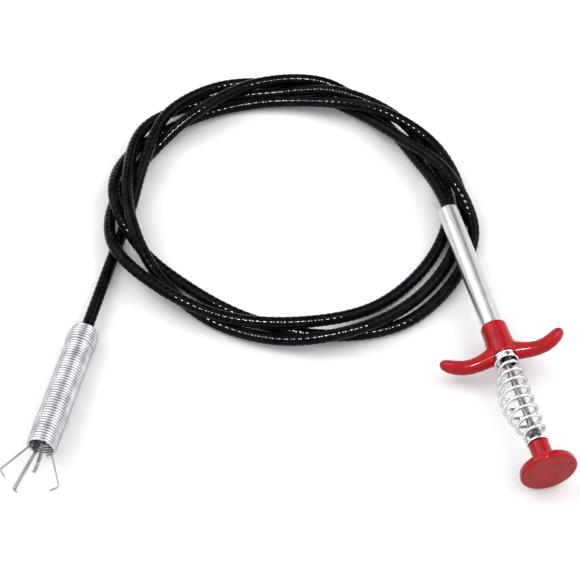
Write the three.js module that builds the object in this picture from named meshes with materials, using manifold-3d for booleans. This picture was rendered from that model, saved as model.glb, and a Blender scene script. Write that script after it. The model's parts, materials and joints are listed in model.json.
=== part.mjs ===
// Flexible four-claw drain auger: a push-button handle, a long coiled shaft and a claw head.
// Units are millimetres. +Z is up, the tool lies on z = 0, and the origin is on that surface,
// under the middle of the rigid pieces (the handle at the right and the head at the left).
import * as THREE from "three";
import { mergeVertices } from "three/addons/utils/BufferGeometryUtils.js";
import Module from "manifold-3d";

const wasm = await Module();
wasm.setup();

// ---- Driving dimensions -------------------------------------------------------------------
const GAP = 0.3; // running gap between touching pieces
const ROUND = 32; // sides of a turned piece

// The handle lies along one axis. Stations on it are distances from the shaft end of its tube.
const HANDLE_END = new THREE.Vector3(96, 97.5, 14);
const HANDLE_YAW = THREE.MathUtils.degToRad(-77.4);
const HANDLE_PITCH = THREE.MathUtils.degToRad(0.57);
const GRIP_ROLL = THREE.MathUtils.degToRad(10); // the grip lies with its right wing up

const TUBE_RADIUS = 6.35; // half-inch aluminium tube
const TUBE_WALL = 1.2;
const TUBE_LENGTH = 103.4;
const TUBE_BORE = TUBE_RADIUS - TUBE_WALL;

const GRIP_START = 91.6;
const GRIP_END = 113.6;
const SLEEVE_RADIUS = 7.7;
const SLEEVE_END_RADIUS = 8.3;
const WING_THICKNESS = 9.5;
const WING_EDGE = 3.2; // rounding of the wings' edges

const CUP_RADIUS = 7.0;
const CUP_BORE = 5.9;
const CUP_START = 103.8;
const CUP_END = 117.6;
const CUP_FLOOR = 1.4;

const ROD_RADIUS = 2.0;
const ROD_START = 64.3;
const ROD_END = 186;
const KNOB_START = 173.9;
const KNOB_RIM = 190.2; // station of the middle of the button's rim
const KNOB_RADIUS = 15.85;
const NECK_RADIUS = 5.65;

const SPRING_WIRE = 0.95; // radius of the wire
const SPRING_END_RADIUS = 4.6;
const SPRING_BELLY = 4.1; // how much wider the middle turns are than the end ones
const SPRING_BOW = -2.9; // how far the middle turns sit to one side
const SPRING_TURNS = 10;
const SPRING_START = CUP_START + CUP_FLOOR + GAP + SPRING_WIRE;
const WASHER_START = 172.4;
const WASHER_THICKNESS = 1.1;
const SPRING_END = WASHER_START - GAP - SPRING_WIRE;

const SHAFT_RADIUS = 3.5;
const SHAFT_START = 20; // the shaft's end inside the tube
const CABLE_RADIUS = 0.9; // inner pull cable
const CABLE_BORE = 1.3;
const CABLE_SIDES = 10;
const DRIVE_CABLE_START = 10; // where the cable's handle end is cut, inside the shaft
const CLAW_CABLE_START = -9; // and where its head end is cut
const STRAIGHT = 14; // the shaft leaves each end straight for this far
const STROKE = 22; // travel of the button

// The head lies along its own axis. Stations on it are distances from its rear end.
const HEAD_REAR = new THREE.Vector3(-117.3, 12, 8.3);
const HEAD_YAW = THREE.MathUtils.degToRad(-101.6);
const HEAD_PITCH = THREE.MathUtils.degToRad(2.8);
const HEAD_LENGTH = 87.2;
const HEAD_RADIUS = 8.3;
const SHOULDER_RADIUS = 8.9;
const HEAD_BORE = 6.9;
const SHAFT_DEPTH = 14; // how far the shaft reaches into the head
const SOCKET_START = 11;
const SOCKET_END = 26;
const GUIDE_START = 40;
const GUIDE_END = 45;

const CARRIER_RADIUS = 2.1;
const CARRIER_START = 55;
const CARRIER_END = 66;
const CLAW_WIDTH = 2.0;
const CLAW_THICKNESS = 0.5;
const CLAW_ANGLES = [170, 232, 67, -14]; // degrees round the head's axis, from its right side
const CLAW_LINE = [
  [2.75, 62.7],
  [6.2, HEAD_LENGTH],
  [15.9, HEAD_LENGTH + 18.3],
  [16.1, HEAD_LENGTH + 19.2],
  [15.5, HEAD_LENGTH + 19.9],
  [12.4, HEAD_LENGTH + 23],
];

// The shaft's route from the handle to the head, three loose turns on the table that cross
// over and under each other. Each end runs straight in line with the piece that holds it.
const SHAFT_ROUTE = [
  [79.5, 148.5, 6.5],
  [55, 191, 4],
  [22, 214, 10],
  [-21.5, 209, 14],
  [-58.5, 182.5, 15],
  [-86, 157, 6],
  [-107.5, 117.5, 4],
  [-105, 71, 12.5],
  [-73, 37, 12],
  [-35, 17.5, 11.5],
  [8.5, 14.5, 11.5],
  [50, 31, 5],
  [82, 64, 4],
  [97.5, 105.5, 4],
  [91, 146.5, 4],
  [69, 181, 10.5],
  [31, 202.5, 13],
  [-12.5, 208, 6],
  [-57, 201.5, 4],
  [-92, 174, 9.5],
  [-100, 125, 17],
  [-94.5, 84.5, 17.5],
  [-77.5, 51, 8.5],
  [-45.5, 21, 4],
  [-3.5, 5.5, 6.5],
  [39, 8.5, 13],
  [75, 36.5, 6.5],
  [99, 75.5, 4],
  [106, 119, 4.5],
  [91, 154, 13],
  [57.5, 182, 16],
  [16, 198, 8.5],
  [-28.5, 199, 4.5],
  [-66, 181.5, 7],
  [-101, 155, 4],
  [-107.5, 109, 15.5],
  [-90.5, 75.5, 6.5],
  [-60.5, 46.5, 4],
  [-22.5, 22, 4],
  [20.5, 10.5, 4],
  [64.5, 18.5, 4],
  [96, 49.5, 4],
  [111.5, 90, 6],
  [97.5, 125, 18],
  [69, 162.5, 12],
  [36.5, 196.5, 4.5],
  [-2.5, 216.5, 4.5],
  [-44.5, 210.5, 10],
  [-77.5, 183, 13.5],
  [-90.5, 141.5, 13.5],
  [-99, 103, 4.5],
  [-108.5, 59, 4.5],
];
const SHAFT_STEPS = 80;

// ---- Materials ----------------------------------------------------------------------------
function finish(color, roughness, metalness) {
  return new THREE.MeshStandardMaterial({ color, roughness, metalness });
}
const redPlastic = finish(0xa81c22, 0.25, 0);
const aluminium = finish(0xd8d8da, 0.35, 1);
const chrome = finish(0xe6e6e8, 0.12, 1);
const steel = finish(0xb9bbbe, 0.3, 1);
const springSteel = finish(0x9a9a98, 0.35, 1);
const brass = finish(0xb89a55, 0.35, 1);
const nylon = finish(0xe8e4d8, 0.5, 0);
const blackVinyl = finish(0x101012, 0.3, 0);

// ---- Frames -------------------------------------------------------------------------------
// A group whose local Z runs along an axis that is turned and tilted from the world's X,
// with its local X level and to the right of that axis, and its local Y upward.
function axisGroup(origin, yaw, pitch) {
  const z = new THREE.Vector3(
    Math.cos(yaw) * Math.cos(pitch),
    Math.sin(yaw) * Math.cos(pitch),
    Math.sin(pitch),
  );
  const x = new THREE.Vector3(0, 0, 1).cross(z).normalize();
  const y = new THREE.Vector3().crossVectors(z, x);
  const group = new THREE.Group();
  group.quaternion.setFromRotationMatrix(new THREE.Matrix4().makeBasis(x, y, z));
  group.position.copy(origin);
  group.updateMatrixWorld(true);
  return group;
}

const root = new THREE.Group();
const handle = axisGroup(HANDLE_END, HANDLE_YAW, HANDLE_PITCH);
const head = axisGroup(HEAD_REAR, HEAD_YAW, HEAD_PITCH);
root.add(handle, head);

function onHandleAxis(station) {
  return handle.localToWorld(new THREE.Vector3(0, 0, station));
}
function onHeadAxis(station) {
  return head.localToWorld(new THREE.Vector3(0, 0, station));
}

function add(parent, name, geometry, material) {
  const mesh = new THREE.Mesh(geometry, material);
  mesh.name = name;
  parent.add(mesh);
  return mesh;
}

// ---- Solids -------------------------------------------------------------------------------
// A turned piece: [radius, station] points, its axis along local Z.
function turned(profile, sides = ROUND) {
  const points = profile.map(([radius, station]) => new THREE.Vector2(radius, station));
  const geometry = new THREE.LatheGeometry(points, sides);
  return geometry.rotateX(Math.PI / 2);
}

function bar(radius, start, end, sides = ROUND) {
  const geometry = new THREE.CylinderGeometry(radius, radius, end - start, sides);
  return geometry.rotateX(Math.PI / 2).translate(0, 0, (start + end) / 2);
}

// A pipe between two stations. Its closed profile runs up the outside and back down the bore.
function pipe(radius, bore, start, end, sides = ROUND) {
  return turned(
    [
      [bore, start],
      [radius, start],
      [radius, end],
      [bore, end],
      [bore, start],
    ],
    sides,
  );
}

function toSolid(geometry) {
  const bare = geometry.clone();
  bare.deleteAttribute("normal");
  bare.deleteAttribute("uv");
  const merged = mergeVertices(bare, 1e-4);
  const mesh = new wasm.Mesh({
    numProp: 3,
    vertProperties: new Float32Array(merged.attributes.position.array),
    triVerts: new Uint32Array(merged.index.array),
  });
  return new wasm.Manifold(mesh);
}

function toGeometry(solid) {
  const mesh = solid.getMesh();
  const geometry = new THREE.BufferGeometry();
  geometry.setAttribute("position", new THREE.BufferAttribute(mesh.vertProperties, 3));
  geometry.setIndex(new THREE.BufferAttribute(mesh.triVerts, 1));
  geometry.computeVertexNormals();
  return geometry;
}

function cut(geometry, ...tools) {
  const solid = tools.reduce((left, tool) => left.subtract(toSolid(tool)), toSolid(geometry));
  return toGeometry(solid);
}

function circleShape(radius, sides) {
  const corner = (k) => {
    const angle = (2 * Math.PI * k) / sides;
    return new THREE.Vector2(radius * Math.cos(angle), radius * Math.sin(angle));
  };
  return new THREE.Shape(Array.from({ length: sides }, (_, k) => corner(k)));
}

function rope(curve, radius, sides, steps) {
  return new THREE.ExtrudeGeometry(circleShape(radius, sides), {
    extrudePath: curve,
    steps,
    bevelEnabled: false,
  });
}

// ---- Handle -------------------------------------------------------------------------------
function gripWings() {
  // A moustache-shaped outline: x across the handle, y along it towards the button. The
  // bevel then rounds it outward all the way round.
  const shape = new THREE.Shape();
  shape.moveTo(-7.5, 104.8);
  shape.lineTo(7.5, 104.8);
  shape.quadraticCurveTo(11, 110.1, 19, 110.2);
  shape.quadraticCurveTo(27, 110, 32.6, 106.3);
  shape.quadraticCurveTo(34.8, 105, 34.4, 107);
  shape.quadraticCurveTo(32.6, 112.3, 25, 115);
  shape.quadraticCurveTo(17.5, 117.4, 9, 115.4);
  shape.lineTo(0, 112);
  shape.lineTo(-9, 115.4);
  shape.quadraticCurveTo(-17.5, 117.4, -25, 115);
  shape.quadraticCurveTo(-32.6, 112.3, -34.4, 107);
  shape.quadraticCurveTo(-34.8, 105, -32.6, 106.3);
  shape.quadraticCurveTo(-27, 110, -19, 110.2);
  shape.quadraticCurveTo(-11, 110.1, -7.5, 104.8);
  const geometry = new THREE.ExtrudeGeometry(shape, {
    depth: WING_THICKNESS - 2 * WING_EDGE,
    bevelThickness: WING_EDGE,
    bevelSize: 1.6,
    bevelSegments: 3,
    curveSegments: 6,
  });
  // The outline's y becomes the handle's axis, and its thickness is centred on that axis.
  geometry.translate(0, 0, -(WING_THICKNESS / 2 - WING_EDGE));
  return geometry.rotateX(Math.PI / 2);
}

function grip() {
  const sleeve = turned([
    [0, GRIP_START],
    [SLEEVE_RADIUS - 1, GRIP_START],
    [SLEEVE_RADIUS, GRIP_START + 1],
    [SLEEVE_RADIUS, GRIP_START + 7],
    [SLEEVE_END_RADIUS, GRIP_START + 14],
    [SLEEVE_END_RADIUS, GRIP_END],
    [0, GRIP_END],
  ]);
  const body = toSolid(sleeve).add(toSolid(gripWings()));
  const tubeHole = toSolid(bar(TUBE_RADIUS + GAP, GRIP_START - 5, GRIP_END + 10));
  const cupHole = toSolid(bar(CUP_RADIUS + GAP, CUP_START - GAP, GRIP_END + 10));
  return toGeometry(body.subtract(tubeHole).subtract(cupHole));
}

function springCup() {
  return turned([
    [ROD_RADIUS + GAP, CUP_START],
    [CUP_RADIUS, CUP_START],
    [CUP_RADIUS, CUP_END - 0.5],
    [CUP_RADIUS - 0.5, CUP_END],
    [CUP_BORE, CUP_END],
    [CUP_BORE, CUP_START + CUP_FLOOR],
    [ROD_RADIUS + GAP, CUP_START + CUP_FLOOR],
    [ROD_RADIUS + GAP, CUP_START],
  ]);
}

const BUSH_START = 88;
const FERRULE_END = 24;
const CRIMP_START = 52;
const CRIMP_RADIUS = 3;
const tubeFit = TUBE_BORE - GAP;

add(handle, "handle_tube", pipe(TUBE_RADIUS, TUBE_BORE, 0, TUBE_LENGTH), aluminium);
const gripMesh = add(handle, "grip", grip(), redPlastic);
gripMesh.rotation.z = GRIP_ROLL;
add(handle, "spring_cup", springCup(), chrome);
add(handle, "guide_bush", pipe(tubeFit, ROD_RADIUS + GAP, BUSH_START, TUBE_LENGTH), nylon);
add(handle, "shaft_ferrule", pipe(tubeFit, SHAFT_RADIUS + GAP, 0.5, FERRULE_END), brass);

// ---- Plunger ------------------------------------------------------------------------------
function knob() {
  const half = 2.6; // half the thickness of the button's disc
  const rim = [
    [KNOB_RADIUS - 2, KNOB_RIM - half],
    [KNOB_RADIUS - 0.6, KNOB_RIM - half + 0.6],
    [KNOB_RADIUS, KNOB_RIM - half + 1.8],
    [KNOB_RADIUS, KNOB_RIM + half - 1],
    [KNOB_RADIUS - 0.3, KNOB_RIM + half - 0.3],
    [KNOB_RADIUS - 1, KNOB_RIM + half],
  ];
  return turned([
    [ROD_RADIUS + GAP, KNOB_START],
    [NECK_RADIUS - 0.5, KNOB_START],
    [NECK_RADIUS, KNOB_START + 0.5],
    [NECK_RADIUS, KNOB_RIM - half - 2.5],
    [NECK_RADIUS + 2.5, KNOB_RIM - half],
    ...rim,
    [0, KNOB_RIM + half],
    [0, ROD_END + GAP],
    [ROD_RADIUS + GAP, ROD_END + GAP],
    [ROD_RADIUS + GAP, KNOB_START],
  ]);
}

const NUT_RADIUS = 3.9;
const NUT_START = 164.4;
const NUT_END = 168.2;
const COLLAR_LENGTH = 4;

add(handle, "knob", knob(), redPlastic);
add(handle, "plunger_rod", bar(ROD_RADIUS, ROD_START, ROD_END, 16), steel);
add(handle, "lock_nut", pipe(NUT_RADIUS, ROD_RADIUS + GAP, NUT_START, NUT_END, 6), steel);
const washerEnd = WASHER_START + WASHER_THICKNESS;
add(
  handle,
  "spring_washer",
  pipe(SPRING_END_RADIUS + 1.5, ROD_RADIUS + GAP, WASHER_START, washerEnd),
  chrome,
);
const collarEnd = BUSH_START - GAP;
add(
  handle,
  "stop_collar",
  pipe(tubeFit - 0.4, ROD_RADIUS + GAP, collarEnd - COLLAR_LENGTH, collarEnd, 24),
  steel,
);
add(handle, "cable_crimp", bar(CRIMP_RADIUS, CRIMP_START, ROD_START - GAP, 16), brass);
add(handle, "drive_cable", bar(CABLE_RADIUS, DRIVE_CABLE_START, CRIMP_START - GAP, CABLE_SIDES), steel);

// ---- Return spring ------------------------------------------------------------------------
// A barrel spring: straight inside its cup, then its turns swell towards the middle and it
// bows a little to the left.
class BarrelHelix extends THREE.Curve {
  getPoint(t) {
    const station = THREE.MathUtils.lerp(SPRING_START, SPRING_END, t);
    const along = THREE.MathUtils.clamp((station - CUP_END) / (SPRING_END - CUP_END), 0, 1);
    const belly = Math.sin(Math.PI * along);
    const radius = SPRING_END_RADIUS + SPRING_BELLY * Math.pow(belly, 0.8);
    const angle = 2 * Math.PI * SPRING_TURNS * t;
    const bow = SPRING_BOW * belly * belly;
    return new THREE.Vector3(
      radius * Math.cos(angle) + bow,
      radius * Math.sin(angle),
      station,
    );
  }
}
add(
  handle,
  "return_spring",
  rope(new BarrelHelix(), SPRING_WIRE, 5, SPRING_TURNS * 12),
  chrome,
);

// ---- Flexible shaft -----------------------------------------------------------------------
function flexShaft() {
  const points = [
    onHandleAxis(SHAFT_START),
    onHandleAxis(-STRAIGHT),
    ...SHAFT_ROUTE.map(([x, y, z]) => new THREE.Vector3(x, y, z)),
    onHeadAxis(-STRAIGHT),
    onHeadAxis(SHAFT_DEPTH),
  ];
  const curve = new THREE.CatmullRomCurve3(points);
  curve.arcLengthDivisions = 1200;
  const body = rope(curve, SHAFT_RADIUS, 8, SHAFT_STEPS);
  // Both ends are bored for the moving ends of the inner cable.
  const past = 5; // each bore is cut through the end face
  const handleBoreStart = DRIVE_CABLE_START - STROKE - 1;
  const handleBore = bar(CABLE_BORE, handleBoreStart, SHAFT_START + past, CABLE_SIDES);
  handleBore.applyMatrix4(handle.matrixWorld);
  const headBore = bar(CABLE_BORE, CLAW_CABLE_START - 2, SHAFT_DEPTH + past, CABLE_SIDES);
  headBore.applyMatrix4(head.matrixWorld);
  return cut(body, handleBore, headBore);
}
add(root, "flex_shaft", flexShaft(), blackVinyl);

// ---- Head ---------------------------------------------------------------------------------
function headCoil() {
  return turned([
    [SHAFT_RADIUS + GAP, 0],
    [5.9, 0],
    [7.3, 1.8],
    [8.2, 4],
    [8.7, 6.5],
    [SHOULDER_RADIUS, 8.5],
    [SHOULDER_RADIUS, 13],
    [HEAD_RADIUS, 14.5],
    [HEAD_RADIUS, HEAD_LENGTH],
    [HEAD_BORE, HEAD_LENGTH],
    [HEAD_BORE, 11],
    [5.6, 5],
    [SHAFT_RADIUS + GAP, 3],
    [SHAFT_RADIUS + GAP, 0],
  ]);
}

function headSocket() {
  const outer = HEAD_BORE - GAP;
  return turned([
    [SHAFT_RADIUS + GAP, SOCKET_START],
    [outer, SOCKET_START],
    [outer, SOCKET_END],
    [CABLE_BORE, SOCKET_END],
    [CABLE_BORE, SHAFT_DEPTH + GAP],
    [SHAFT_RADIUS + GAP, SHAFT_DEPTH + GAP],
    [SHAFT_RADIUS + GAP, SOCKET_START],
  ]);
}

add(head, "head_coil", headCoil(), steel);
add(head, "head_socket", headSocket(), brass);
add(head, "cable_guide", pipe(HEAD_BORE - GAP, CABLE_BORE, GUIDE_START, GUIDE_END), nylon);

// ---- Claws --------------------------------------------------------------------------------
add(head, "claw_carrier", bar(CARRIER_RADIUS, CARRIER_START, CARRIER_END, 16), brass);
add(head, "claw_cable", bar(CABLE_RADIUS, CLAW_CABLE_START, CARRIER_START - GAP, CABLE_SIDES), steel);

// One strip, bent from its root in the head to its inward hook: the outline runs along one
// side of the claw's line and back along the other.
function clawStrip() {
  const line = CLAW_LINE.map(([radius, station]) => new THREE.Vector2(radius, station));
  const normalAt = (k) => {
    const before = line[Math.max(k - 1, 0)];
    const after = line[Math.min(k + 1, line.length - 1)];
    const along = new THREE.Vector2().subVectors(after, before).normalize();
    return new THREE.Vector2(along.y, -along.x);
  };
  const side = (sign) =>
    line.map((point, k) => point.clone().addScaledVector(normalAt(k), (sign * CLAW_THICKNESS) / 2));
  const shape = new THREE.Shape([...side(1), ...side(-1).reverse()]);
  const geometry = new THREE.ExtrudeGeometry(shape, { depth: CLAW_WIDTH, bevelEnabled: false });
  geometry.translate(0, 0, -CLAW_WIDTH / 2);
  return geometry.rotateX(Math.PI / 2);
}

CLAW_ANGLES.forEach((angle, k) => {
  const claw = add(head, `claw_${k + 1}`, clawStrip(), springSteel);
  claw.rotation.z = THREE.MathUtils.degToRad(angle);
});

export default root;
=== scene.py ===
# %% [markdown]
# # A flexible drain auger with a claw head
# This lesson builds a plumber's pick-up tool. A red push button drives four spring-steel claws
# at the far end of a long black flexible shaft. The rigid solids and the joints come from a
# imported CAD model, which is the frame. Blender adds what the frame leaves plain: wound wire,
# ribs, rounded edges, and finishes. The frame is loaded first, so that every piece is made in
# its place, in metres, with Z up.

# %% Load the frame
import json
import math

import bmesh
import bpy
from mathutils import Matrix, Vector

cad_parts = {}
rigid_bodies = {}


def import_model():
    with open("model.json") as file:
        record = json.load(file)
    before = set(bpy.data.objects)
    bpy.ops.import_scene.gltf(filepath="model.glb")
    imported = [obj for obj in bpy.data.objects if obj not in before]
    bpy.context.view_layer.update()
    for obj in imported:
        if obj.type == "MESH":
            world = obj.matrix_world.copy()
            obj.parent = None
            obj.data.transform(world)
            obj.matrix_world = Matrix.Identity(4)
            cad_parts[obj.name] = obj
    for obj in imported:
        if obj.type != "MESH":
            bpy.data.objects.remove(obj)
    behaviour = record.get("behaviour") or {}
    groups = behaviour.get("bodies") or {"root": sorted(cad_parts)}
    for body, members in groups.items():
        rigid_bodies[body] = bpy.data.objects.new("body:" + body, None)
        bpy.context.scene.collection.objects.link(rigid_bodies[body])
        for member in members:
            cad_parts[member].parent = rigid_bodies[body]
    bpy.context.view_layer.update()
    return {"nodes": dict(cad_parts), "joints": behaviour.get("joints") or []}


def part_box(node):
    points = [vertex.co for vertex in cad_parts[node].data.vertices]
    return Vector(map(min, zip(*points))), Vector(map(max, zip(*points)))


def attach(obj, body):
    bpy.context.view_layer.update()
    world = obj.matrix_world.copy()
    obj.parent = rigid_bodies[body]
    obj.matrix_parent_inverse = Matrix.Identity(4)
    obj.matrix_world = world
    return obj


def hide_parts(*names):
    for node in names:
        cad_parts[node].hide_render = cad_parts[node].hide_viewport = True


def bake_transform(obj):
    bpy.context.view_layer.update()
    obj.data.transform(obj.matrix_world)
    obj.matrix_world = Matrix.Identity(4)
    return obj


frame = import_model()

mm = 0.001

# %% [markdown]
# ## The two axes
# Nearly every rigid piece is round, and turns about one of two lines: the handle's or the
# head's. Both can be read from the frame. A sliding joint gives each line's direction, and the
# middle of a round solid's box lies on the line. From there a station is a distance along it.
# Each axis becomes a matrix whose Z runs along the line, X is level and Y points up, so a piece
# can be drawn upright at the origin and then stood on its axis by that matrix.

# %% Axis matrices
joints = {joint["name"]: joint for joint in frame["joints"]}


def axis_matrix(direction, middle, station):
    """A matrix with Z along direction, whose origin is station metres before middle."""
    z = Vector(direction).normalized()
    x = Vector((0, 0, 1)).cross(z).normalized()
    turn = Matrix((x, z.cross(x), z)).transposed()
    return Matrix.Translation(middle - z * station) @ turn.to_4x4()


def middle_of(node):
    low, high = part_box(node)
    return (low + high) / 2


TUBE_END = 103.4  # station of the tube's end, in millimetres
CARRIER_MIDDLE = 60.5 * mm  # station of the claw carrier's middle
button_way = -Vector(joints["plunger_slide"]["axis"])
handle_axis = axis_matrix(button_way, middle_of("handle_tube"), TUBE_END * mm / 2)
head_axis = axis_matrix(joints["claw_slide"]["axis"], middle_of("claw_carrier"), CARRIER_MIDDLE)


def on_handle(station):
    return handle_axis @ Vector((0, 0, station))


def on_head(station):
    return head_axis @ Vector((0, 0, station))


print("handle starts at", [round(c / mm, 1) for c in on_handle(0)])
print("head starts at", [round(c / mm, 1) for c in on_head(0)])

# %% [markdown]
# ## Camera
# A long lens from about a metre away keeps the tool's proportions, as a catalogue picture
# does. It looks down at 51 degrees, so the loops of the shaft read as flat ellipses. The
# camera stands on the side of the button and the claws.

# %% Camera
scene = bpy.context.scene
CAMERA_DOWN = math.radians(51)
CAMERA_AWAY = 0.95
LOOK_AT = Vector((0, 0.0475, 0))
camera_data = bpy.data.cameras.new("camera")
camera_data.sensor_width = 36
camera_data.lens = 99.3
camera = bpy.data.objects.new("camera", camera_data)
scene.collection.objects.link(camera)
camera.location = LOOK_AT + CAMERA_AWAY * Vector((0, -math.cos(CAMERA_DOWN), math.sin(CAMERA_DOWN)))
camera.rotation_euler = (math.pi / 2 - CAMERA_DOWN, 0, 0)
scene.camera = camera
print("camera at", [round(c, 3) for c in camera.location])

# %% [markdown]
# ## Making a mesh
# All the pieces share three ways of making a mesh: rings of points joined by faces, a profile
# turned about an axis, and a section carried along a path. They all end in the same step, which
# makes an object from points and faces, shades it smooth and names its material slot.

# %% From points and faces to an object
def mesh_object(name, points, faces, material, place=None):
    """A smooth-shaded mesh object. place is its matrix in the frame."""
    mesh = bpy.data.meshes.new(name)
    mesh.from_pydata([tuple(p) for p in points], [], faces)
    mesh.validate()
    mesh.polygons.foreach_set("use_smooth", [True] * len(mesh.polygons))
    mesh.materials.append(material)
    piece = bpy.data.objects.new(name, mesh)
    scene.collection.objects.link(piece)
    if place is not None:
        piece.matrix_world = place
    return piece


def joined_rings(rings, closed=False):
    """Points and faces of a skin over rings that all have the same number of points."""
    count = len(rings[0])
    points = [point for ring in rings for point in ring]
    faces = []
    last = len(rings) if closed else len(rings) - 1
    for k in range(last):
        here = k * count
        there = ((k + 1) % len(rings)) * count
        for side in range(count):
            turn = (side + 1) % count
            faces.append((here + side, here + turn, there + turn, there + side))
    if not closed:
        faces.append(tuple(reversed(range(count))))
        faces.append(tuple(range((len(rings) - 1) * count, len(rings) * count)))
    return points, faces

# %% [markdown]
# A turned piece, such as the button or the tube, is a profile spun about its axis. Real edges
# are never knife sharp, and a small round on each corner is what catches the light. So a
# profile here lists each corner as radius, station and rounding, in millimetres, and `rounded`
# swaps each corner for a short curve.

# %% Turned pieces
ROUNDING_STEPS = 5
LEAST_RADIUS = 1e-6  # keeps a ring on the axis from falling to one point


def rounded(corners, closed):
    """The profile's points, with a curve in place of each corner that has a rounding."""
    points = []
    for k, (radius, station, rounding) in enumerate(corners):
        corner = Vector((radius, station))
        at_end = not closed and k in (0, len(corners) - 1)
        if at_end or rounding == 0:
            points.append(corner)
            continue
        before = Vector(corners[k - 1][:2]) - corner
        after = Vector(corners[(k + 1) % len(corners)][:2]) - corner
        half = before.angle(after) / 2
        back = min(rounding / math.tan(half), before.length * 0.49, after.length * 0.49)
        start = corner + before.normalized() * back
        end = corner + after.normalized() * back
        for step in range(ROUNDING_STEPS + 1):
            t = step / ROUNDING_STEPS
            points.append(start * (1 - t) ** 2 + corner * 2 * t * (1 - t) + end * t**2)
    return points


def turned(name, corners, material, place, closed=True, sides=96):
    """A round piece. A closed profile makes a ring, and an open one starts and ends on the axis."""
    profile = rounded([[value * mm for value in corner] for corner in corners], closed)
    rings = []
    for point in profile:
        radius = max(point.x, LEAST_RADIUS)
        ring = []
        for side in range(sides):
            angle = 2 * math.pi * side / sides
            ring.append(Vector((radius * math.cos(angle), radius * math.sin(angle), point.y)))
        rings.append(ring)
    points, faces = joined_rings(rings, closed=closed)
    return mesh_object(name, points, faces, material, place)

# %% [markdown]
# Wire and rope are a section carried along a path. The section must not spin as it goes, so
# each ring's frame is the last one's, turned just enough to face along the path. This is called
# parallel transport. The radius may change along the path and round the section, which gives
# the shaft its ribs.

# %% Swept pieces
def carried_frames(path):
    """For each path point, two directions square to the path that don't twist along it."""
    tangents = []
    for k in range(len(path)):
        ahead = path[min(k + 1, len(path) - 1)]
        behind = path[max(k - 1, 0)]
        tangents.append((ahead - behind).normalized())
    side = tangents[0].orthogonal().normalized()
    frames = []
    for tangent in tangents:
        side = (side - tangent * side.dot(tangent)).normalized()
        frames.append((side, tangent.cross(side)))
    return frames


def swept(name, path, radius, material, sides):
    """A round bar along path. radius is a number or a function of (path index, angle)."""
    rings = []
    for k, (side, up) in enumerate(carried_frames(path)):
        ring = []
        for step in range(sides):
            angle = 2 * math.pi * step / sides
            reach = radius(k, angle) if callable(radius) else radius
            ring.append(path[k] + (side * math.cos(angle) + up * math.sin(angle)) * reach)
        rings.append(ring)
    points, faces = joined_rings(rings)
    return mesh_object(name, points, faces, material)

# %% [markdown]
# ## Effects that several materials share
# A finish is never one flat value. These node groups each put out one mask or value that
# changes over the surface, and every material mixes them in its own amounts. They use Object
# coordinates, which are metres on the piece, so that a grain is the same size on every piece.
# `fine_mottle` is soft cloudiness, `hairlines` is fine streaks along one direction, `dust` is
# what settles on faces that look up, and `rubbed` marks outward edges, where handling wears.

# %% Helpers for shader node groups
def new_group(name, inputs, outputs):
    """A shader node group with named float inputs (name, default) and outputs."""
    group = bpy.data.node_groups.new(name, "ShaderNodeTree")
    for title, default in inputs:
        socket = group.interface.new_socket(title, in_out="INPUT", socket_type="NodeSocketFloat")
        socket.default_value = default
    for title in outputs:
        group.interface.new_socket(title, in_out="OUTPUT", socket_type="NodeSocketFloat")
    return group, group.nodes.new("NodeGroupInput"), group.nodes.new("NodeGroupOutput")


def node(tree, kind, **settings):
    """A new node with its properties set by name."""
    made = tree.nodes.new(kind)
    for key, value in settings.items():
        setattr(made, key, value)
    return made


def ramp(tree, source, low, high):
    """Maps source so that low becomes 0 and high becomes 1, smoothly."""
    mapped = node(tree, "ShaderNodeMapRange", interpolation_type="SMOOTHSTEP")
    mapped.inputs["From Min"].default_value = low
    mapped.inputs["From Max"].default_value = high
    tree.links.new(source, mapped.inputs["Value"])
    return mapped.outputs["Result"]


def times(tree, a, b):
    """The product of two sockets."""
    product = node(tree, "ShaderNodeMath", operation="MULTIPLY")
    tree.links.new(a, product.inputs[0])
    tree.links.new(b, product.inputs[1])
    return product.outputs[0]

# %% Fine mottle and hairlines
def noise(tree, scale_socket, detail, stretch=(1, 1, 1)):
    """A noise value in object coordinates, stretched along the axes."""
    place = node(tree, "ShaderNodeTexCoord")
    mapping = node(tree, "ShaderNodeMapping")
    mapping.inputs["Scale"].default_value = stretch
    texture = node(tree, "ShaderNodeTexNoise")
    texture.inputs["Detail"].default_value = detail
    tree.links.new(place.outputs["Object"], mapping.inputs["Vector"])
    tree.links.new(mapping.outputs["Vector"], texture.inputs["Vector"])
    tree.links.new(scale_socket, texture.inputs["Scale"])
    return texture.outputs["Fac"]


mottle, given, put = new_group("fine_mottle", [("Scale", 300.0)], ["Value"])
clouds = noise(mottle, given.outputs["Scale"], 4)
mottle.links.new(ramp(mottle, clouds, 0.3, 0.7), put.inputs["Value"])

LENGTHWISE = (1, 1, 0.04)
hairlines, given, put = new_group("hairlines", [("Scale", 4000.0)], ["Value"])
streaks = noise(hairlines, given.outputs["Scale"], 2, LENGTHWISE)
hairlines.links.new(ramp(hairlines, streaks, 0.4, 0.66), put.inputs["Value"])
print("groups:", mottle.name, hairlines.name)

# %% Dust and rubbed edges
dust, given, put = new_group("dust", [("Scale", 900.0), ("Amount", 0.3)], ["Mask"])
surface = node(dust, "ShaderNodeNewGeometry")
split = node(dust, "ShaderNodeSeparateXYZ")
dust.links.new(surface.outputs["Normal"], split.inputs[0])
facing_up = ramp(dust, split.outputs["Z"], 0.35, 1.0)
specks = ramp(dust, noise(dust, given.outputs["Scale"], 6), 0.5, 0.75)
settled = times(dust, facing_up, specks)
dust.links.new(times(dust, settled, given.outputs["Amount"]), put.inputs["Mask"])

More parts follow.
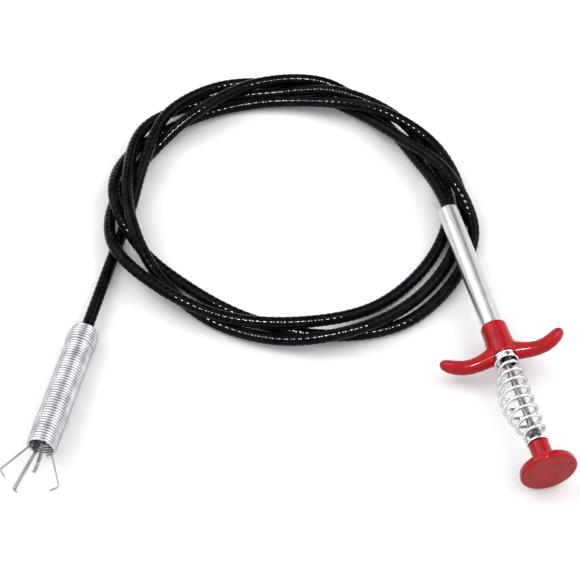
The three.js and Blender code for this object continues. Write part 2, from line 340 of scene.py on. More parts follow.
rubbed, given, put = new_group("rubbed", [("Scale", 700.0), ("Amount", 0.5)], ["Mask"])
surface = node(rubbed, "ShaderNodeNewGeometry")
edges = ramp(rubbed, surface.outputs["Pointiness"], 0.51, 0.56)
patches = ramp(rubbed, noise(rubbed, given.outputs["Scale"], 3), 0.35, 0.6)
bare = times(rubbed, edges, patches)
rubbed.links.new(times(rubbed, bare, given.outputs["Amount"]), put.inputs["Mask"])
print("groups:", dust.name, rubbed.name)

# %% [markdown]
# ## Finishes
# Every material is one Principled shader. Its colour, roughness and bump come from the groups
# above, and its plain numbers, such as metallic or specular level, are set on the shader itself.
# `finish` does the wiring that is common to all, and each material then names its own values.

# %% One function that wires a finish
def linear(red, green, blue):
    """A colour for a shader from the 0 to 255 values that a screen shows."""
    def one(value):
        share = value / 255
        return share / 12.92 if share <= 0.04045 else ((share + 0.055) / 1.055) ** 2.4
    return (one(red), one(green), one(blue), 1.0)


def use(tree, group, **values):
    """A group node in a material, with its inputs set by name."""
    made = node(tree, "ShaderNodeGroup", node_tree=group)
    for title, value in values.items():
        made.inputs[title].default_value = value
    return made.outputs[0]


def mixed(tree, mask, first, second):
    """A colour that goes from first to second as mask goes from 0 to 1."""
    mix = node(tree, "ShaderNodeMix", data_type="RGBA")
    tree.links.new(mask, mix.inputs["Factor"])
    for value, socket in ((first, mix.inputs["A"]), (second, mix.inputs["B"])):
        if isinstance(value, tuple):
            socket.default_value = value
        else:
            tree.links.new(value, socket)
    return mix.outputs["Result"]


def spread(tree, source, low, high):
    """A value that goes from low to high as source goes from 0 to 1."""
    mapped = node(tree, "ShaderNodeMapRange")
    mapped.inputs["To Min"].default_value = low
    mapped.inputs["To Max"].default_value = high
    tree.links.new(source, mapped.inputs["Value"])
    return mapped.outputs["Result"]


CLOUD_SCALE = 120.0
WORN_SCALE = 700.0
WORN_AMOUNT = 0.6
DUST_SCALE = 900.0
DUST_COLOUR = (190, 188, 182)
BUMP_DEPTH = 0.05 * mm


def finish(name, colours, roughness, grain, bump, metallic=0.0, shine=0.5, dusty=0.0, worn=None,
           edge=None):
    """A material that clouds from one colour to another, and whose grain changes its roughness.

    grain is a group and its scale. worn is the colour of rubbed edges, and edge is a metal's
    tint where its surface turns away.
    """
    material = bpy.data.materials.new(name)
    material.use_nodes = True
    tree = material.node_tree
    shader = tree.nodes["Principled BSDF"]
    shader.inputs["Metallic"].default_value = metallic
    shader.inputs["Specular IOR Level"].default_value = shine
    group, scale = grain
    pattern = use(tree, group, Scale=scale)
    cloud = use(tree, mottle, Scale=CLOUD_SCALE)
    colour = mixed(tree, cloud, linear(*colours[0]), linear(*colours[1]))
    if worn:
        worn_mask = use(tree, rubbed, Scale=WORN_SCALE, Amount=WORN_AMOUNT)
        colour = mixed(tree, worn_mask, colour, linear(*worn))
    if dusty:
        dust_mask = use(tree, dust, Scale=DUST_SCALE, Amount=dusty)
        colour = mixed(tree, dust_mask, colour, linear(*DUST_COLOUR))
    if edge:
        shader.inputs["Specular Tint"].default_value = linear(*edge)
    tree.links.new(colour, shader.inputs["Base Color"])
    tree.links.new(spread(tree, pattern, *roughness), shader.inputs["Roughness"])
    lumps = node(tree, "ShaderNodeBump")
    lumps.inputs["Strength"].default_value = bump
    lumps.inputs["Distance"].default_value = BUMP_DEPTH
    tree.links.new(pattern, lumps.inputs["Height"])
    tree.links.new(lumps.outputs["Normal"], shader.inputs["Normal"])
    return material

# %% The materials of the tool
red_plastic = finish("red_plastic", [(128, 6, 14), (140, 10, 19)], (0.1, 0.17), shine=0.2,
                     grain=(mottle, 1400.0), bump=0.06, dusty=0.03)
aluminium = finish("drawn_aluminium", [(204, 204, 206), (216, 216, 218)], (0.3, 0.36), metallic=1.0,
                   grain=(hairlines, 5000.0), bump=0.03, dusty=0.03, worn=(240, 240, 242))
chrome = finish("chrome_plate", [(224, 225, 228), (242, 242, 244)], (0.04, 0.1), metallic=1.0,
                grain=(mottle, 900.0), bump=0.03, edge=(40, 42, 46))
coil_steel = finish("bright_coil_wire", [(196, 199, 203), (232, 234, 237)], (0.06, 0.15),
                    metallic=1.0, grain=(mottle, 1500.0), bump=0.08, dusty=0.04, edge=(30, 32, 35))
rod_steel = finish("turned_steel", [(120, 122, 126), (158, 160, 164)], (0.2, 0.34), metallic=1.0,
                   grain=(mottle, 2600.0), bump=0.08)
claw_steel = finish("oiled_spring_steel", [(142, 140, 136), (178, 176, 172)], (0.22, 0.36),
                    metallic=1.0, grain=(mottle, 1800.0), bump=0.1, worn=(215, 214, 210))
black_vinyl = finish("black_vinyl", [(0, 0, 1), (2, 2, 2)], (0.07, 0.12), shine=0.06,
                     grain=(mottle, 900.0), bump=0.02)
brass = finish("lacquered_brass", [(176, 142, 72), (196, 164, 92)], (0.24, 0.38), metallic=1.0,
               grain=(mottle, 2200.0), bump=0.08)
nylon = finish("natural_nylon", [(222, 218, 206), (236, 233, 224)], (0.4, 0.55),
               grain=(mottle, 1600.0), bump=0.1)
print(len(bpy.data.materials), "materials")

# %% [markdown]
# ## The flexible shaft
# The shaft is a steel coil in a tight black vinyl skin, so it shows as shallow ribs on a
# glossy rope. It is stiff enough to lie in wide loops, and it rises in long low humps where it
# passes over itself. The route below is one smooth curve through chosen points, three loops
# from the handle's tube to the head. Each end runs straight into the piece that holds it.
# A Catmull-Rom curve passes through every point. Its centripetal form, which spaces the
# points by the square root of their distance, never makes a kink or a small loop.

# %% The shaft's route, in metres
SHAFT_INSIDE_HANDLE = 20 * mm
SHAFT_INSIDE_HEAD = 14 * mm
STRAIGHT = 14 * mm
SHAFT_ROUTE = [
    (0.0795, 0.1485, 0.0065), (0.055, 0.191, 0.004), (0.022, 0.214, 0.01), (-0.0215, 0.209, 0.014),
    (-0.0585, 0.1825, 0.015), (-0.086, 0.157, 0.006), (-0.1075, 0.1175, 0.004),
    (-0.105, 0.071, 0.0125), (-0.073, 0.037, 0.012), (-0.035, 0.0175, 0.0115),
    (0.0085, 0.0145, 0.0115), (0.05, 0.031, 0.005), (0.082, 0.064, 0.004), (0.0975, 0.1055, 0.004),
    (0.091, 0.1465, 0.004), (0.069, 0.181, 0.0105), (0.031, 0.2025, 0.013), (-0.0125, 0.208, 0.006),
    (-0.057, 0.2015, 0.004), (-0.092, 0.174, 0.0095), (-0.1, 0.125, 0.017),
    (-0.0945, 0.0845, 0.0175), (-0.0775, 0.051, 0.0085), (-0.0455, 0.021, 0.004),
    (-0.0035, 0.0055, 0.0065), (0.039, 0.0085, 0.013), (0.075, 0.0365, 0.0065),
    (0.099, 0.0755, 0.004), (0.106, 0.119, 0.0045), (0.091, 0.154, 0.013), (0.0575, 0.182, 0.016),
    (0.016, 0.198, 0.0085), (-0.0285, 0.199, 0.0045), (-0.066, 0.1815, 0.007),
    (-0.101, 0.155, 0.004), (-0.1075, 0.109, 0.0155), (-0.0905, 0.0755, 0.0065),
    (-0.0605, 0.0465, 0.004), (-0.0225, 0.022, 0.004), (0.0205, 0.0105, 0.004),
    (0.0645, 0.0185, 0.004), (0.096, 0.0495, 0.004), (0.1115, 0.09, 0.006), (0.0975, 0.125, 0.018),
    (0.069, 0.1625, 0.012), (0.0365, 0.1965, 0.0045), (-0.0025, 0.2165, 0.0045),
    (-0.0445, 0.2105, 0.01), (-0.0775, 0.183, 0.0135), (-0.0905, 0.1415, 0.0135),
    (-0.099, 0.103, 0.0045), (-0.1085, 0.059, 0.0045),
]


def smooth_curve(points, steps):
    """Points of a centripetal Catmull-Rom curve through points, steps for each span."""
    padded = [points[0] * 2 - points[1], *points, points[-1] * 2 - points[-2]]
    curve = []
    for a, b, c, d in zip(padded, padded[1:], padded[2:], padded[3:]):
        before, span, after = (math.sqrt((q - p).length) for p, q in ((a, b), (b, c), (c, d)))
        leave = ((b - a) / before - (c - a) / (before + span) + (c - b) / span) * span
        arrive = ((c - b) / span - (d - b) / (span + after) + (d - c) / after) * span
        for step in range(steps):
            t = step / steps
            bend = (c - b) * 3 - leave * 2 - arrive
            twist = (b - c) * 2 + leave + arrive
            curve.append(b + leave * t + bend * t**2 + twist * t**3)
    curve.append(points[-1])
    return curve


def evenly(points, spacing):
    """The same line, with its points spaced evenly along it."""
    along = [0.0]
    for a, b in zip(points, points[1:]):
        along.append(along[-1] + (b - a).length)
    count = round(along[-1] / spacing)
    line, k = [], 0
    for step in range(count + 1):
        target = along[-1] * step / count
        while k < len(points) - 2 and along[k + 1] < target:
            k += 1
        share = (target - along[k]) / (along[k + 1] - along[k])
        line.append(points[k].lerp(points[k + 1], share))
    return line, along[-1]


shaft_points = [on_handle(SHAFT_INSIDE_HANDLE), on_handle(-STRAIGHT)]
shaft_points += [Vector(point) for point in SHAFT_ROUTE]
shaft_points += [on_head(-STRAIGHT), on_head(SHAFT_INSIDE_HEAD)]
RIB_PITCH = 4.2 * mm
RINGS_PER_RIB = 8
CURVE_STEPS = 24
shaft_curve = smooth_curve(shaft_points, CURVE_STEPS)
shaft_line, shaft_length = evenly(shaft_curve, RIB_PITCH / RINGS_PER_RIB)
print("shaft", round(shaft_length / mm), "mm long,", len(shaft_line), "rings")

# %% [markdown]
# Each rib is one turn of the coil under the skin: a broad crown, then a narrow groove. The
# ribs are wound, not stacked, so the groove's place moves along by one pitch in each turn
# round the shaft. Real geometry is used and not a bump map, because the shaft's gloss breaks
# into a row of small dashes only if the surface truly rises and falls.

# %% The ribbed skin
SHAFT_RADIUS = 3.62 * mm
GROOVE_DEPTH = 0.2 * mm


def ribbed(k, angle):
    """The skin's radius: full on a rib's crown and less in the groove between two."""
    turn = k / RINGS_PER_RIB + angle / (2 * math.pi)
    crown = abs(math.sin(math.pi * turn))
    return SHAFT_RADIUS - GROOVE_DEPTH * (1 - crown)


shaft = swept("shaft", shaft_line, ribbed, black_vinyl, sides=20)
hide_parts("flex_shaft")
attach(shaft, "handle")
print("shaft faces:", len(shaft.data.polygons))

# %% [markdown]
# ## The handle's tube
# The handle is a length of half-inch aluminium tube, with its cut ends faced and lightly
# rounded. A turned ring profile, closed on itself, gives the outside, the ends and the bore in
# one skin.

# %% Handle tube
TUBE_RADIUS = 6.35
TUBE_BORE = 5.15
handle_tube = turned(
    "handle_tube_skin",
    [
        (TUBE_BORE, 0, 0.3),
        (TUBE_RADIUS, 0, 0.35),
        (TUBE_RADIUS, TUBE_END, 0.3),
        (TUBE_BORE, TUBE_END, 0.3),
    ],
    aluminium,
    handle_axis,
)
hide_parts("handle_tube")
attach(handle_tube, "handle")
print("tube from", [round(c / mm) for c in on_handle(0)], "length", TUBE_END)

# %% [markdown]
# ## The finger grip
# The grip is one glossy red moulding: a short sleeve on the tube, with two curved wings that
# the first two fingers pull against. Moulded plastic has no sharp inside corners, so the wings
# flow into the sleeve. The sleeve and wings are made as simple closed solids, joined into one
# skin by a voxel remesh, and then smoothed, which rounds the join as a mould would. The bore
# for the tube is cut last, so that its edge stays crisp.

# %% A wing as a loft of ovals
GRIP_ROLL = math.radians(10)
WING_SECTIONS = [  # across the handle, station, half width, half thickness
    (0, 110.0, 6.0, 5.4),
    (6.5, 111.2, 5.8, 5.2),
    (10.5, 112.4, 4.9, 4.9),
    (15, 113.4, 4.4, 4.6),
    (19.5, 113.7, 4.2, 4.4),
    (24, 113.0, 4.2, 4.3),
    (28, 111.4, 4.1, 4.2),
    (31.5, 109.2, 3.8, 3.9),
    (34, 107.2, 3.1, 3.2),
    (35.2, 106.1, 1.9, 2.0),
    (35.7, 105.6, 0.6, 0.6),
]
OVAL_SIDES = 32


def wing(name, hand):
    """A closed solid for one wing. hand is 1 for the right wing and -1 for the left."""
    rings = []
    for k, (across, station, wide, thick) in enumerate(WING_SECTIONS):
        near = WING_SECTIONS[max(k - 1, 0)]
        far = WING_SECTIONS[min(k + 1, len(WING_SECTIONS) - 1)]
        along = Vector((far[0] - near[0], 0, far[1] - near[1])).normalized()
        square = Vector((-along.z, 0, along.x))
        ring = []
        for step in range(OVAL_SIDES):
            angle = 2 * math.pi * step / OVAL_SIDES
            point = Vector((across, 0, station)) + square * wide * math.cos(angle)
            point += Vector((0, thick * math.sin(angle), 0))
            ring.append(Vector((hand * point.x, point.y, point.z)) * mm)
        rings.append(ring if hand > 0 else list(reversed(ring)))
    points, faces = joined_rings(rings)
    return mesh_object(name, points, faces, red_plastic)


def applied(piece):
    """Turns a piece's modifiers into its mesh."""
    evaluated = piece.evaluated_get(bpy.context.evaluated_depsgraph_get())
    mesh = bpy.data.meshes.new_from_object(evaluated)
    piece.modifiers.clear()
    piece.data = mesh


def merged(name, solids):
    """One object that holds the points and faces of several, which are removed."""
    joined = bmesh.new()
    for solid in solids:
        joined.from_mesh(solid.data)
    mesh = bpy.data.meshes.new(name)
    joined.to_mesh(mesh)
    joined.free()
    mesh.materials.append(solids[0].data.materials[0])
    for solid in solids:
        bpy.data.objects.remove(solid)
    piece = bpy.data.objects.new(name, mesh)
    scene.collection.objects.link(piece)
    return piece


SLEEVE_START = 91.6
SLEEVE_END = 113.6
SLEEVE_RADIUS = 8.3  # where it meets the wings
sleeve = turned(
    "sleeve",
    [
        (0, SLEEVE_START, 0),
        (7.7, SLEEVE_START, 0.9),
        (7.75, 99, 2),
        (SLEEVE_RADIUS, 106, 2),
        (SLEEVE_RADIUS, SLEEVE_END, 1.0),
        (0, SLEEVE_END, 0),
    ],
    red_plastic,
    None,
    closed=False,
)
grip = merged("finger_grip", [sleeve, wing("right_wing", 1), wing("left_wing", -1)])
print("grip solids joined:", len(grip.data.polygons), "faces")

# %% Remesh, smooth and bore
VOXEL = 0.42 * mm
remesh = grip.modifiers.new("one_skin", "REMESH")
remesh.mode = "VOXEL"
remesh.voxel_size = VOXEL
remesh.use_smooth_shade = True
soften = grip.modifiers.new("mould_rounding", "SMOOTH")
soften.factor = 0.5
soften.iterations = 14
applied(grip)

TUBE_SEAT = 6.55  # radius of the hole for the tube
CUP_SEAT = 7.25  # and of the wider one for the spring cup
BORE_START = 80
BORE_END = 125
bore = turned(
    "bore",
    [
        (0, BORE_START, 0),
        (TUBE_SEAT, BORE_START, 0),
        (TUBE_SEAT, 103.3, 0),
        (CUP_SEAT, 103.6, 0),
        (CUP_SEAT, BORE_END, 0),
        (0, BORE_END, 0),
    ],
    red_plastic,
    None,
    closed=False,
)
cutting = grip.modifiers.new("bore", "BOOLEAN")
cutting.operation = "DIFFERENCE"
cutting.solver = "EXACT"
cutting.object = bore
bpy.context.view_layer.update()
applied(grip)
bpy.data.objects.remove(bore)
grip.data.polygons.foreach_set("use_smooth", [True] * len(grip.data.polygons))
grip.matrix_world = handle_axis @ Matrix.Rotation(GRIP_ROLL, 4, "Z")
sharp = grip.modifiers.new("crisp_bore", "EDGE_SPLIT")
sharp.split_angle = math.radians(50)
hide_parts("grip")
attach(grip, "handle")
print("grip faces:", len(grip.data.polygons))

# %% [markdown]
# ## The spring cup
# A plated steel cup sits in the grip's end and holds the spring's first turns. It shows as a
# bright ring with a dark inside. The lip is rolled, so its profile swells a little at the
# mouth, and the floor has a hole for the rod.

# %% Spring cup
CUP_RADIUS = 7.0
CUP_BORE = 5.9
CUP_LIP = CUP_RADIUS + 0.15
CUP_NECK = 6.75
CUP_START = 103.8
CUP_FLOOR = 105.2
CUP_MOUTH = 117.6
ROD_HOLE = 2.3
cup = turned(
    "spring_cup_skin",
    [
        (ROD_HOLE, CUP_START, 0.2),
        (CUP_RADIUS, CUP_START, 0.6),
        (CUP_RADIUS, 113.9, 0.2),
        (CUP_NECK, 114.3, 0.3),
        (CUP_NECK, 115.2, 0.3),
        (CUP_LIP, 115.7, 0.4),
        (CUP_LIP, CUP_MOUTH, 0.5),
        (CUP_BORE, CUP_MOUTH, 0.4),
        (CUP_BORE, CUP_FLOOR, 0.5),
        (ROD_HOLE, CUP_FLOOR, 0.2),
    ],
    chrome,
    handle_axis,
)
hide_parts("spring_cup")
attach(cup, "handle")
print("cup mouth at station", CUP_MOUTH, "mm, radius", CUP_RADIUS)

# %% [markdown]
# ## The push button
# The button is a thick disc on a short neck, moulded in the same red. Its back flows into the
# neck, and its face is faintly domed, with a tight round at the rim. All of it is one profile
# that starts and ends on the axis, with the rod's socket in its neck.

# %% Button
KNOB_RADIUS = 15.85
KNOB_RIM = 190.2  # station of the rim's middle
RIM_HALF = 2.6
NECK_RADIUS = 5.65
NECK_START = 173.9
SOCKET_END = 186.3
knob = turned(
    "push_button",
    [
        (0, SOCKET_END, 0),
        (ROD_HOLE, SOCKET_END, 0),
        (ROD_HOLE, NECK_START, 0.3),
        (NECK_RADIUS, NECK_START, 0.6),
        (NECK_RADIUS, 184.6, 3.5),
        (9.2, KNOB_RIM - RIM_HALF, 2.0),
        (KNOB_RADIUS - 0.4, KNOB_RIM - RIM_HALF + 0.3, 2.0),
        (KNOB_RADIUS, KNOB_RIM + RIM_HALF - 0.9, 0.7),
        (KNOB_RADIUS - 0.9, KNOB_RIM + RIM_HALF - 0.1, 0.8),
        (7, KNOB_RIM + RIM_HALF + 0.05, 3),
        (0, KNOB_RIM + RIM_HALF + 0.1, 0),
    ],
    red_plastic,
    handle_axis,
    closed=False,
    sides=128,
)
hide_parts("knob")
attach(knob, "plunger")
print("button", 2 * KNOB_RADIUS, "mm across")

# %% [markdown]
# ## Rod, nut and washer
# A thin steel rod runs from the button down into the tube. A plated washer under the neck
# takes the push of the spring, and a hex nut on the rod locks the button. The nut is a turned
# ring of only six sides, left flat, and a bevel takes its sharp edges off.

# %% Rod and washer
ROD_RADIUS = 2.0
ROD_START = 64.3
ROD_END = 186
rod = turned(
    "plunger_rod_skin",
    [(0, ROD_START, 0), (ROD_RADIUS, ROD_START, 0.4), (ROD_RADIUS, ROD_END, 0.4), (0, ROD_END, 0)],
    rod_steel,
    handle_axis,
    closed=False,
    sides=40,
)
WASHER_RADIUS = 6.1
WASHER_NEAR = 172.4
WASHER_FAR = 173.5
washer = turned(
    "spring_washer_skin",
    [
        (ROD_HOLE, WASHER_NEAR, 0.2),
        (WASHER_RADIUS, WASHER_NEAR, 0.3),
        (WASHER_RADIUS, WASHER_FAR, 0.3),
        (ROD_HOLE, WASHER_FAR, 0.2),
    ],
    chrome,
    handle_axis,
)
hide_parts("plunger_rod")
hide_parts("spring_washer")
for piece in (rod, washer):
    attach(piece, "plunger")
print("rod and washer ride on the plunger")

# %% Lock nut
NUT_CORNER = 3.9
NUT_NEAR = 164.4
NUT_FAR = 168.2
nut = turned(
    "lock_nut_skin",
    [
        (ROD_HOLE, NUT_NEAR, 0),
        (NUT_CORNER, NUT_NEAR, 0),
        (NUT_CORNER, NUT_FAR, 0),
        (ROD_HOLE, NUT_FAR, 0),
    ],
    rod_steel,
    handle_axis,
    sides=6,
)
nut.data.polygons.foreach_set("use_smooth", [False] * len(nut.data.polygons))
chamfer = nut.modifiers.new("chamfer", "BEVEL")
chamfer.width = 0.25 * mm
chamfer.segments = 3
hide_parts("lock_nut")
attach(nut, "plunger")
print("nut is hexagonal,", 2 * NUT_CORNER, "mm over its corners")

# %% [markdown]
# ## The return spring
# The spring is wound in a barrel shape: straight where it sits in the cup, then each turn is wider
# up to the middle, and it sags a little to one side. The helix is worked out from its turns, and
# the wire is swept along it. When the button goes in, the spring's far end moves and its near end
# stays; here the wire is left fixed in place and follows neither body.

# %% Barrel spring
SPRING_WIRE = 0.95
SPRING_START = 106.5
SPRING_END = 171.1
SPRING_TURNS = 10
END_RADIUS = 4.6
BELLY = 4.1  # how much wider the middle turns are
FULLNESS = 0.8  # under 1, the turns widen soon and stay wide
BOW = -2.9  # how far the middle sags, along the handle's X
STEPS_PER_TURN = 48


def spring_point(t):
    """A point of the spring's wire, t from 0 to 1, in millimetres on the handle's axis."""
    station = SPRING_START + (SPRING_END - SPRING_START) * t
    along = min(max((station - CUP_MOUTH) / (SPRING_END - CUP_MOUTH), 0), 1)
    belly = math.sin(math.pi * along)
    reach = END_RADIUS + BELLY * max(belly, 0) ** FULLNESS
    angle = 2 * math.pi * SPRING_TURNS * t
    return Vector((reach * math.cos(angle) + BOW * belly**2, reach * math.sin(angle), station))


WIRE_STEPS = SPRING_TURNS * STEPS_PER_TURN
wire = [handle_axis @ (spring_point(k / WIRE_STEPS) * mm) for k in range(WIRE_STEPS + 1)]
spring = swept("return_spring_wire", wire, SPRING_WIRE * mm, chrome, sides=14)
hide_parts("return_spring")
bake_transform(spring)
print("spring:", SPRING_TURNS, "turns of", 2 * SPRING_WIRE, "mm wire")

# %% [markdown]
# ## The head's coil
# The head is a steel wire wound close, turn against turn, so it can bend round a pipe's elbow
# while it keeps the claws together. It starts on the shaft with a few small turns that grow
# like a cone, swells to a shoulder, and then runs straight to its open mouth. Sweeping a real
# wire shows the turns from outside and again inside the mouth. Each turn is a hair larger or
# smaller than the next, as on any hand-fed winding, and that breaks the gloss up.

# %% Wound coil
COIL_WIRE = 0.81
COIL_PITCH = 1.74
COIL_END = 87.2
SINGLE_TURNS = 0.09  # how far one turn stands out from the next
SLOW_WAVE = 0.07  # a longer swell, over several turns
COIL_PROFILE = [  # station and radius of the wire's middle line
    (0.8, 5.2),
    (1.8, 6.4),
    (4.0, 7.3),
    (6.5, 7.85),
    (8.5, 8.1),
    (12.8, 8.1),
    (14.6, 7.5),
    (COIL_END, 7.5),
]


def coil_reach(station):
    """The radius of the wire's middle line at a station, from the profile of the head."""
    for (s0, r0), (s1, r1) in zip(COIL_PROFILE, COIL_PROFILE[1:]):
        if station <= s1:
            t = max((station - s0) / (s1 - s0), 0)
            return r0 + (r1 - r0) * t
    return COIL_PROFILE[-1][1]


coil_start = COIL_PROFILE[0][0]
coil_turns = (COIL_END - COIL_WIRE - coil_start) / COIL_PITCH
coil_line = []
for k in range(round(coil_turns * STEPS_PER_TURN) + 1):
    turn = k / STEPS_PER_TURN
    station = coil_start + COIL_PITCH * turn
    uneven = SINGLE_TURNS * math.sin(5.1 * turn) * math.sin(0.7 * turn + 1)
    uneven += SLOW_WAVE * math.sin(0.33 * turn + 2)
    reach = coil_reach(station) + uneven
    angle = -2 * math.pi * turn
    point = Vector((reach * math.cos(angle), reach * math.sin(angle), station))
    coil_line.append(head_axis @ (point * mm))
coil = swept("head_coil_wire", coil_line, COIL_WIRE * mm, coil_steel, sides=10)
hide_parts("head_coil")
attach(coil, "handle")
print("head coil:", round(coil_turns), "turns,", len(coil.data.polygons), "faces")

# %% [markdown]
# ## The claws
# Each claw is one strip of flat spring steel. It leaves the carrier inside the head, flares
# out as it passes the mouth, and ends in a short hook that points back to the middle. Metal
# strip can't be folded to a sharp corner, so each bend is a curve. The strip is a path in the
# plane of the claw, thickened and given its width, with its long edges rounded by a bevel. All
# four are alike, set at their own angles round the head.

# %% One claw strip
CLAW_WIDTH = 2.0
CLAW_THICKNESS = 0.5
EDGE_ROUNDING = 0.12
CLAW_ANGLES = [170, 232, 67, -14]  # degrees round the head's axis, from its right side
CLAW_LINE = [  # radius, station, rounding of the bend
    (2.75, 62.7, 0),
    (6.2, 87.2, 5.0),
    (15.95, 105.6, 0),
    (16.1, 106.6, 0.9),
    (15.4, 107.3, 0),
    (12.4, 110.2, 0),
]


def claw(name, angle):
    """One bent strip, from its root to the tip of its hook, at an angle round the head."""
    line = rounded([[value * mm for value in corner] for corner in CLAW_LINE], closed=False)
    rings = []
    half_wide = CLAW_WIDTH * mm / 2
    half_thick = CLAW_THICKNESS * mm / 2
    for k, point in enumerate(line):
        ahead = line[min(k + 1, len(line) - 1)]
        behind = line[max(k - 1, 0)]
        along = (ahead - behind).normalized()
        square = Vector((along.y, -along.x)) * half_thick
        outer, inner = point + square, point - square
        corners = ((outer, 1), (outer, -1), (inner, -1), (inner, 1))
        rings.append([Vector((p.x, hand * half_wide, p.y)) for p, hand in corners])
    points, faces = joined_rings(rings)
    place = head_axis @ Matrix.Rotation(math.radians(angle), 4, "Z")
    strip = mesh_object(name, points, faces, claw_steel, place)
    bevel = strip.modifiers.new("rolled_edges", "BEVEL")
    bevel.width = EDGE_ROUNDING * mm
    bevel.segments = 3
    bevel.limit_method = "ANGLE"
    return strip


for number, angle in enumerate(CLAW_ANGLES, start=1):
    strip = claw(f"claw_strip_{number}", angle)
    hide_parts(f"claw_{number}")
    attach(strip, f"claw_{number}")
    print(strip.name, "at", angle, "degrees")

# %% [markdown]
# ## Pieces kept from the CAD model
# The pieces inside the tube and the head are already the right shape, and hardly show. They
# stay as they are, with no geometry added, and only get their finish.

# %% Finishes for the inner pieces
INNER_PIECES = {
    "guide_bush": nylon,
    "cable_guide": nylon,
    "shaft_ferrule": brass,
    "head_socket": brass,
    "cable_crimp": brass,
    "claw_carrier": brass,
    "stop_collar": rod_steel,
    "drive_cable": rod_steel,
    "claw_cable": rod_steel,
}
for name, material in INNER_PIECES.items():
    inner = frame["nodes"][name]
    inner.data.materials.clear()
    inner.data.materials.append(material)
print(len(INNER_PIECES), "inner pieces finished")

# %% [markdown]
# ## What is on the shaft
# The shaft is a free cord. It is held a little way inside the handle's tube, and its far end is a
# tool: the coil head, with the claws. Those pieces are gathered in a list.

head_pieces = [coil] + [bpy.data.objects[f"claw_strip_{number}"] for number in range(1, 5)]
INNER_HEAD_NODES = ("head_socket", "cable_guide", "claw_carrier", "claw_cable")
head_pieces += [frame["nodes"][name] for name in INNER_HEAD_NODES]
print("the shaft carries", len(head_pieces), "pieces")

# %% [markdown]
# ## Studio
# The tool lies on a plain white floor. Two large soft boxes, one at each side, light it almost
# without shadow. The other lamps are small and bright, and each is linked to a few glossy
# pieces only. Three in a row put sparks on the crowns of the shaft's ribs, where a large lamp
# would leave a grey band, and one draws the line of gloss on the red and plated pieces.
# Linked lamps throw no hard shadows on the floor.

# %% Floor and lights
FLOOR_WHITE = 0.94
FLOOR_HALF = 4.0
FLOOR_CORNERS = ((-1, -1), (1, -1), (1, 1), (-1, 1))
floor_material = bpy.data.materials.new("white_floor")
floor_material.use_nodes = True
floor_shader = floor_material.node_tree.nodes["Principled BSDF"]
floor_shader.inputs["Base Color"].default_value = (FLOOR_WHITE, FLOOR_WHITE, FLOOR_WHITE, 1)
floor_shader.inputs["Roughness"].default_value = 0.6
floor_shader.inputs["Specular IOR Level"].default_value = 0.2
corners = [(x * FLOOR_HALF, y * FLOOR_HALF, 0) for x, y in FLOOR_CORNERS]
floor = mesh_object("floor", corners, [(0, 1, 2, 3)], floor_material)


def softbox(name, place, size, power):
    """A square area light that faces the middle of the tool."""
    lamp = bpy.data.lights.new(name, "AREA")
    lamp.size = size
    lamp.energy = power
    light = bpy.data.objects.new(name, lamp)
    light.location = place
    light.rotation_euler = (LOOK_AT - Vector(place)).to_track_quat("-Z", "Y").to_euler()
    scene.collection.objects.link(light)
    return light


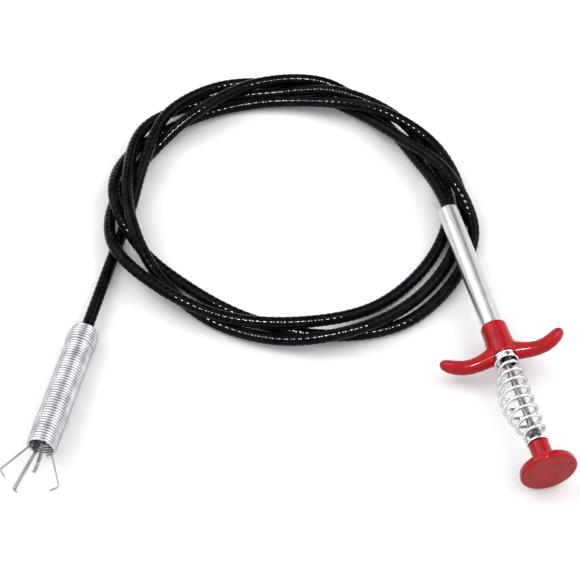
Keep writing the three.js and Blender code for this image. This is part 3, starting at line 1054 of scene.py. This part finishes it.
softbox("left_box", place=(-1.3, 0.7, 1.4), size=1.5, power=16)
softbox("right_box", place=(1.3, 0.5, 1.4), size=1.3, power=11)
SMALL_LAMP = 0.22
SMALL_LAMP_NEAR = -0.55  # in front of the tool, on the camera's side
SMALL_LAMP_UP = 1.33
linked = {  # the pieces lit, and each lamp's name, place across and power
    "shaft_only": (
        [shaft],
        [("spark_left", -0.7, 70), ("spark_middle", 0.0, 80), ("spark_right", 0.7, 70)],
    ),
    "red_and_plated": ([knob, grip, cup, spring], [("glint", 0.05, 16)]),
}
for name, (pieces, lamps) in linked.items():
    receivers = bpy.data.collections.new(name)
    for piece in pieces:
        receivers.objects.link(piece)
    for lamp_name, across, power in lamps:
        lamp = softbox(lamp_name, (across, SMALL_LAMP_NEAR, SMALL_LAMP_UP), SMALL_LAMP, power)
        lamp.light_linking.receiver_collection = receivers
print("softboxes aimed at", [round(c, 3) for c in LOOK_AT])

# %% [markdown]
# The room itself is the world. Polished metal shows only what is round it, so a plain white
# room would wash it out. High up at the back the room has two dark panels: a wide one that
# puts the grey streak along the tube, and a narrow one for the head's coil. Each mask is the
# angle between a direction and the panel's middle, so it stays put when the camera moves.

# %% White room with two dark panels
ROOM_WHITE = (0.95, 0.95, 0.96, 1)
PANEL_GREY = (0.12, 0.12, 0.13, 1)
SQUASH = 0.25  # heights count for a quarter, which makes a panel tall
PANELS = [(131, 0.955, 0.99), (75, 0.96, 0.985)]  # azimuth, cosines where it starts and is full
scene.view_settings.view_transform = "Standard"
world = bpy.data.worlds.new("white_room")
world.use_nodes = True
room = world.node_tree
background = room.nodes["Background"]
direction = node(room, "ShaderNodeTexCoord")
flattened = node(room, "ShaderNodeVectorMath", operation="MULTIPLY")
flattened.inputs[1].default_value = (1, 1, SQUASH)
unit = node(room, "ShaderNodeVectorMath", operation="NORMALIZE")
room.links.new(direction.outputs["Generated"], flattened.inputs[0])
room.links.new(flattened.outputs[0], unit.inputs[0])


def panel(azimuth, start, full):
    """How far each direction is inside a tall panel at this azimuth, from 0 to 1."""
    angle = math.radians(azimuth)
    middle = Vector((math.cos(angle), math.sin(angle), SQUASH)).normalized()
    facing = node(room, "ShaderNodeVectorMath", operation="DOT_PRODUCT")
    facing.inputs[1].default_value = middle
    room.links.new(unit.outputs[0], facing.inputs[0])
    return ramp(room, facing.outputs["Value"], start, full)


in_panel = node(room, "ShaderNodeMath", operation="MAXIMUM")
for socket, (azimuth, start, full) in zip(in_panel.inputs, PANELS):
    room.links.new(panel(azimuth, start, full), socket)
room_colour = mixed(room, in_panel.outputs[0], ROOM_WHITE, PANEL_GREY)
room.links.new(room_colour, background.inputs["Color"])
background.inputs["Strength"].default_value = 1.05
scene.world = world
print("lights:", len(bpy.data.lights))
